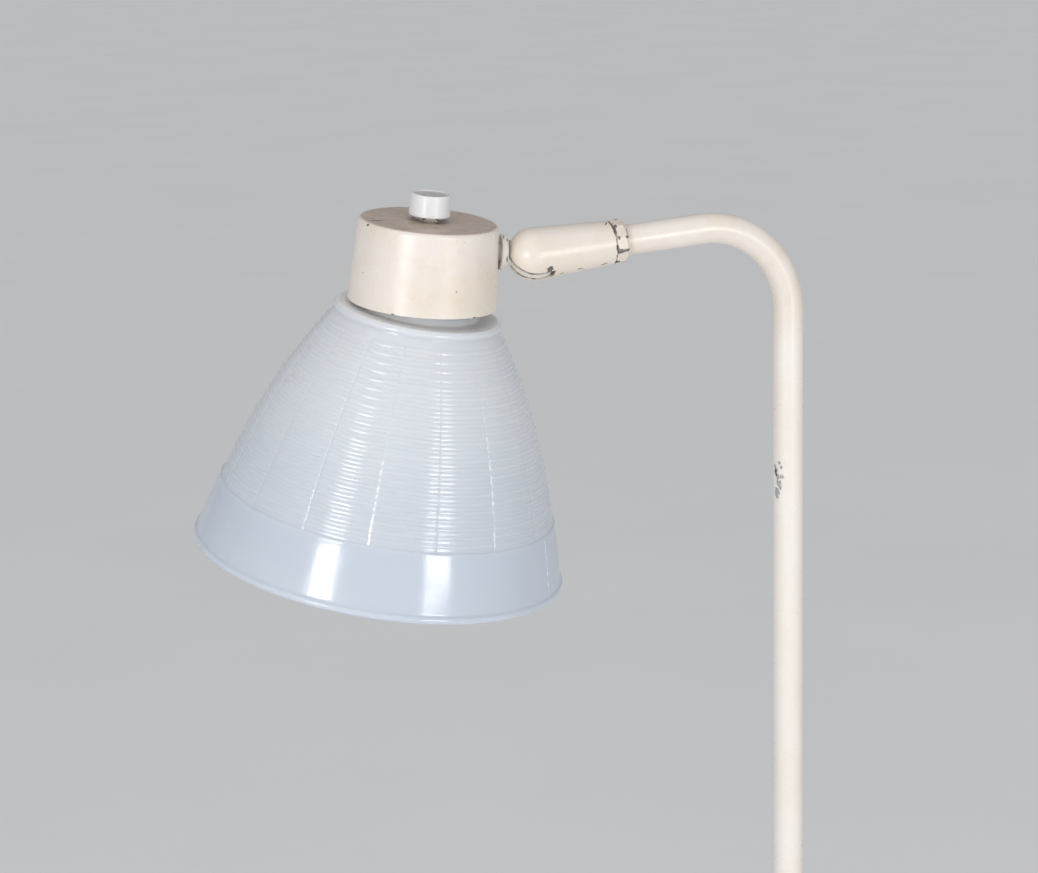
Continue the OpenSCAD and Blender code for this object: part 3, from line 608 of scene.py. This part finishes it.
def tongue_rub(paint):
    """The tongue's rim, rubbed pale by the knuckle's cheeks."""
    reach, _ = paint.off_axis(PIVOT)
    return paint.math("MULTIPLY", paint.ramp(reach, 11.8 * MM, 12.8 * MM),
                      paint.ramp(paint.noise(300, 4.0, 0.6), 0.3, 0.6, 0.15, 0.7))


def slot_painted_shade(paint):
    """Painted shade in the knuckle's slot: thick on the wall nearer the camera, thin on the other."""
    reach, across = paint.off_axis(PIVOT)
    walls = paint.math("MULTIPLY", paint.ramp(across, -2.9 * MM, -2.75 * MM, 0, 0.95),
                       paint.ramp(across, 1.8 * MM, 1.0 * MM, 0.25, 1))
    walls = paint.math("MULTIPLY", walls, paint.ramp(across, 2.85 * MM, 2.7 * MM))
    return paint.math("MULTIPLY", walls, paint.ramp(reach, 15.6 * MM, 14.9 * MM))


def tongue_painted_shade(paint):
    """Painted shade on the tongue's side nearer the camera, and on the rim next to it."""
    reach, across = paint.off_axis(PIVOT)
    sides = paint.ramp(across, -0.95 * MM, -1.1 * MM, 0, 0.96)
    return paint.math("MULTIPLY", sides, paint.ramp(reach, 14.6 * MM, 14.2 * MM))


def stand_dust(paint):
    """A thin layer of dust on faces that look up."""
    up = paint.node("SeparateXYZ", {0: paint.node("TexCoord", {}, output=1)}, output=2)
    return paint.ramp(up, 0.6, 1.0, 0, 0.28)


def stand_chips():
    """Knocks round the base's edge and on the clamp."""
    return [mark(STEM, 35, 12, 139.5, 3.2, 1.1), mark(STEM, 152, 9, 139.8, 2.1, 1.5),
            mark(STEM, -100, 14, 138.8, 1.6, 1.0), mark(STEM, -38, 7, 139.6, 2.6, 0.8),
            mark(STEM, 15, 665, 14.6, 2.4, 0.7), mark(STEM, -130, 646, 15.4, 0.8, 1.3)]


def cup_chips():
    """Chips on the cup's top, on both of its edges and down its side."""
    top = CUP_TOP / MM
    low = CUP_LOW / MM
    return [flat_mark(CUP, -164, 28.6, top, 3.9, 0.75, 12), mark(CUP, -156, top - 1.3, 35.8, 0.75, 0.6),
            flat_mark(CUP, 137, 35.0, top - 0.3, 0.6, 3.0), mark(CUP, -120, low + 0.2, 38.3, 0.7, 0.4),
            mark(CUP, -54, low + 0.2, 38.3, 0.9, 0.35), mark(CUP, -72, -14, 37.6, 0.35, 0.3),
            mark(CUP, -154, -11, 37.4, 0.4, 0.2, 40), flat_mark(CUP, 60, 38.2, low, 0.8, 1.8),
            flat_mark(CUP, 95, 35.4, top - 0.3, 0.6, 1.2)]


# Worn edges: frame, radius, height, how far the wear reaches, and how much of the edge it takes
CUP_EDGES = [(CUP, 38.4, CUP_LOW / MM, 0.35, 0.15), (CUP, 35.3, CUP_TOP / MM - 0.6, 0.3, 0.1)]


def knuckle_chips():
    """Worn paint along the slot's end and on the knuckle's underside and rim."""
    return [mark(KNUCKLE, -160.5, -4.4, 13.6, 1.6, 1.5, 25), mark(KNUCKLE, -164.5, -4.0, 13.6, 1.1, 2.4, -60),
            mark(KNUCKLE, -176, -6.3, 13.5, 0.45, 1.1, 30), mark(KNUCKLE, 170, 3.5, 13.8, 0.5, 1.3),
            mark(KNUCKLE, 176, -11.5, 13.2, 0.45, 1.2, 20), mark(KNUCKLE, 179, -21.7, 12.6, 0.4, 1.5),
            mark(KNUCKLE, 177, -35.2, 11.8, 0.5, 1.6, 10), mark(KNUCKLE, -60, -39.2, 11.6, 1.6, 0.35, -35),
            mark(KNUCKLE, -70, -41.4, 11.4, 4.2, 0.6, 4)]


KNUCKLE_EDGES = [(KNUCKLE, RING_R, -41.7, 0.5, 0.7), (PIVOT, BALL_R, SLOT_HALF, 0.3, 0.55),
                 (PIVOT, BALL_R, -SLOT_HALF, 0.3, 0.55)]


def ring_chips():
    """Chipped paint on the ring's ten corners: angle, place along the arm, half width, half length."""
    bits = [(-72, -43.2, 0.8, 0.6), (-72, -47.6, 0.7, 0.9), (-108, -43.6, 1.3, 1.5), (-107, -45.6, 0.8, 2.2),
            (-108, -48.0, 0.6, 0.8), (-150, -45.0, 0.6, 2.8), (-144, -43.2, 1.1, 0.5), (-36, -43.3, 1.2, 0.5),
            (0, -46.0, 0.5, 1.8), (36, -43.5, 1.0, 0.8), (72, -47.4, 0.9, 1.2), (144, -44.0, 0.8, 1.6)]
    return [mark(ARM, angle, along, RING_R + 0.1, wide, long, 6) for angle, along, wide, long in bits]


RING_EDGES = [(ARM, RING_R, -42.3, 0.5, 0.6), (ARM, RING_R - 0.8, -48.6, 0.4, 0.4)]


def ring_film(paint):
    """Uneven handling dirt all over the ring."""
    return paint.ramp(paint.noise(240, 4.0, 0.6), 0.3, 0.7, 0.08, 0.32)


def stem_painted_light(paint):
    """Painted light: the upright part of the tube is painted paler than the arm."""
    height = paint.node("SeparateXYZ", {0: paint.place}, output=2)
    return paint.ramp(height, ARM.translation.z - 20 * MM, ARM.translation.z - 60 * MM, 0, 0.5)


def tube_chips():
    """The flaked patch on the stem and a few knocks: angle, height, half width, half height."""
    flakes = [(-170, 992.0, 1.0, 1.6), (-174, 994.8, 0.5, 1.3), (-166, 990.2, 0.7, 0.8),
              (70, 905, 0.5, 1.0), (-20, 842, 0.4, 0.8), (150, 760, 0.6, 0.9)]
    return [mark(STEM, angle, z, STEM_R, wide, high, 10) for angle, z, wide, high in flakes]


def tube_primer():
    """Where the flaked patch has lost its enamel but kept its primer."""
    flakes = [(-150, 997.0, 1.0, 0.9), (-141, 994.9, 0.7, 1.0), (-158, 989.5, 1.1, 1.9),
              (-138, 989.6, 1.1, 1.2), (-157, 986.0, 0.9, 1.7), (-146, 985.2, 0.9, 2.8),
              (-161, 980.6, 1.7, 2.9), (-165, 993.0, 1.0, 1.4)]
    return [mark(STEM, angle, z, STEM_R, wide, high, 4) for angle, z, wide, high in flakes]


def tongue_chips():
    """Chips round the tongue's flange."""
    return [mark(TONGUE, -150, 14.8, 7.7, 1.6, 0.35, 8), mark(TONGUE, -60, 14.8, 7.7, 1.8, 0.35, -6),
            mark(TONGUE, 100, 16.0, 9.2, 0.8, 1.0)]


TONGUE_EDGES = [(TONGUE, 9.3, 17.0, 0.3, 0.35), (TONGUE, 9.2, 14.9, 0.35, 0.6), (TONGUE, 7.3, 14.2, 0.3, 0.4)]
STAND_EDGES = [(STEM, 15.5, 645.5, 0.5, 0.4), (STEM, 14.8, 667.0, 0.5, 0.3), (STEM, 139.6, 6.5, 1.4, 0.35),
               (STEM, 20, 29.2, 0.6, 0.4)]


def make_surfaces():
    """One material for every CAD node and piece, by name."""
    steel = bare_metal("zinc_steel", (0.42, 0.42, 0.41, 1), (0.62, 0.62, 0.61, 1), 0.3, 0.12)
    brass = bare_metal("old_brass", (0.36, 0.24, 0.10, 1), (0.66, 0.48, 0.22, 1), 0.28, 0.15)
    rubber = moulded("black_rubber", (0.030, 0.029, 0.028, 1), (0.042, 0.040, 0.038, 1), 0.62, 0, 0.05)
    bakelite = moulded("black_bakelite", (0.016, 0.014, 0.012, 1), (0.028, 0.022, 0.018, 1), 0.2, 0.4)
    nylon = moulded("dark_nylon", (0.05, 0.047, 0.043, 1), (0.075, 0.07, 0.065, 1), 0.42)
    stand = enamel("stand_enamel", chips=stand_chips(), edges=STAND_EDGES, dust_and_shade=stand_dust)
    surfaces = {
        "cream_enamel": stand, "bright_steel": steel, "brass": brass, "black_rubber": rubber,
        "black_bakelite": bakelite, "bush_plastic": nylon, "white_plastic": knob_white(),
        "chrome_nut": bare_metal("chrome_nut", (0.55, 0.56, 0.57, 1), (0.83, 0.84, 0.85, 1), 0.08, 0.1),
        "bulb_white": bulb_opal(), "opal_plastic": opal_plastic()}
    special = {
        "head_cup": enamel("cup_enamel", chips=cup_chips(), edges=CUP_EDGES, dust_and_shade=cup_top_dust_and_shade, darkening=cup_nut_dark_ring),
        "knuckle_fork": enamel("knuckle_enamel", chips=knuckle_chips(), edges=KNUCKLE_EDGES,
                               darkening=slot_painted_shade),
        "head_tongue": enamel("tongue_enamel", chips=tongue_chips(), edges=TONGUE_EDGES, darkening=tongue_painted_shade,
                              rubbed=tongue_rub),
        "lock_ring": enamel("ring_enamel", chips=ring_chips(), edges=RING_EDGES, dust_and_shade=ring_film),
        "arm_tube": enamel("tube_enamel", chips=tube_chips(), primer=tube_primer(), painted_light=stem_painted_light)}
    return surfaces, special


# ---------------------------------------------------------------- the studio

CAMERA = Vector((-0.57095, -1.30388, 1.31434))
LOOK_TURN = 17.83                         # degrees from +Y towards +X
LOOK_DOWN = 12.0
ROLL = -1.22
LENS = 93.64
FLOOR_R = 80.0


def look_axes(turn, down, roll):
    """Right, up and back vectors of a camera."""
    t, d, q = radians(turn), radians(down), radians(roll)
    ahead = Vector((sin(t) * cos(d), cos(t) * cos(d), -sin(d)))
    right = Vector((cos(t), -sin(t), 0))
    up = right.cross(ahead)
    right = right * cos(q) + up * sin(q)
    return right, right.cross(ahead), -ahead


def make_camera():
    data = bpy.data.cameras.new("camera")
    data.sensor_width = 36
    data.lens = LENS
    data.clip_end = 200
    camera = bpy.data.objects.new("camera", data)
    right, up, back = look_axes(LOOK_TURN, LOOK_DOWN, ROLL)
    camera.matrix_world = Matrix.Translation(CAMERA) @ Matrix((right, up, back)).transposed().to_4x4()
    bpy.context.scene.collection.objects.link(camera)
    bpy.context.scene.camera = camera


def soft_box(name, side, rise, distance, wide, high, power):
    """An area light aimed at the head: side is degrees to the right of the camera, rise degrees up."""
    data = bpy.data.lights.new(name, "AREA")
    data.shape = "RECTANGLE"
    data.size, data.size_y = wide, high
    data.energy = power
    light = bpy.data.objects.new(name, data)
    target = CUP.translation
    towards = CAMERA - target
    towards.z = 0
    towards = Matrix.Rotation(radians(side), 3, "Z") @ towards.normalized()
    towards = (towards * cos(radians(rise)) + Vector((0, 0, sin(radians(rise))))).normalized()
    light.location = target + towards * distance
    light.rotation_euler = towards.to_track_quat("Z", "Y").to_euler()
    bpy.context.scene.collection.objects.link(light)


def make_studio():
    """The world, an overhead sun, two soft boxes in front and a pale paper floor."""
    world = bpy.data.worlds.new("studio")
    world.use_nodes = True
    world.node_tree.nodes["Background"].inputs["Color"].default_value = (0.93, 0.95, 1.0, 1)
    world.node_tree.nodes["Background"].inputs["Strength"].default_value = 0.36
    bpy.context.scene.world = world
    sun = bpy.data.lights.new("overhead", "SUN")
    sun.energy = 0.75
    sun.angle = radians(70)
    overhead = bpy.data.objects.new("overhead", sun)
    overhead.rotation_euler = Euler((radians(25), radians(-12), 0))
    bpy.context.scene.collection.objects.link(overhead)
    soft_box("left_box", -32, 4, 1.9, 0.5, 0.5, 13.2)
    soft_box("right_box", 37, 1, 1.9, 0.52, 0.55, 10.5)
    bm = bmesh.new()
    bmesh.ops.create_circle(bm, cap_ends=True, radius=FLOOR_R, segments=128)
    mesh = bpy.data.meshes.new("floor")
    bm.to_mesh(mesh)
    bm.free()
    floor = bpy.data.objects.new("floor", mesh)
    bpy.context.scene.collection.objects.link(floor)
    paper = Surface("floor_paper")
    cloud = paper.ramp(paper.noise(1.5, 3.0), 0.3, 0.7)
    colour = paper.mix(cloud, (0.93, 0.93, 0.92, 1), (0.91, 0.91, 0.90, 1))
    rough = paper.ramp(paper.noise(40), 0.3, 0.7, 0.75, 0.85)
    mesh.materials.append(paper.finish(Base_Color=colour, Roughness=rough))
    bpy.context.scene.view_settings.view_transform = "Standard"


make_camera()
surfaces, special = make_surfaces()
shade = build_shade()
shade.data.materials.append(surfaces["opal_plastic"])
cap = build_cap()
cap.data.materials.append(surfaces["bright_steel"])
for name, node in frame["nodes"].items():
    node.data.materials.clear()
    node.data.materials.append(special.get(name) or surfaces[NODE_SLOT[name]])
make_studio()
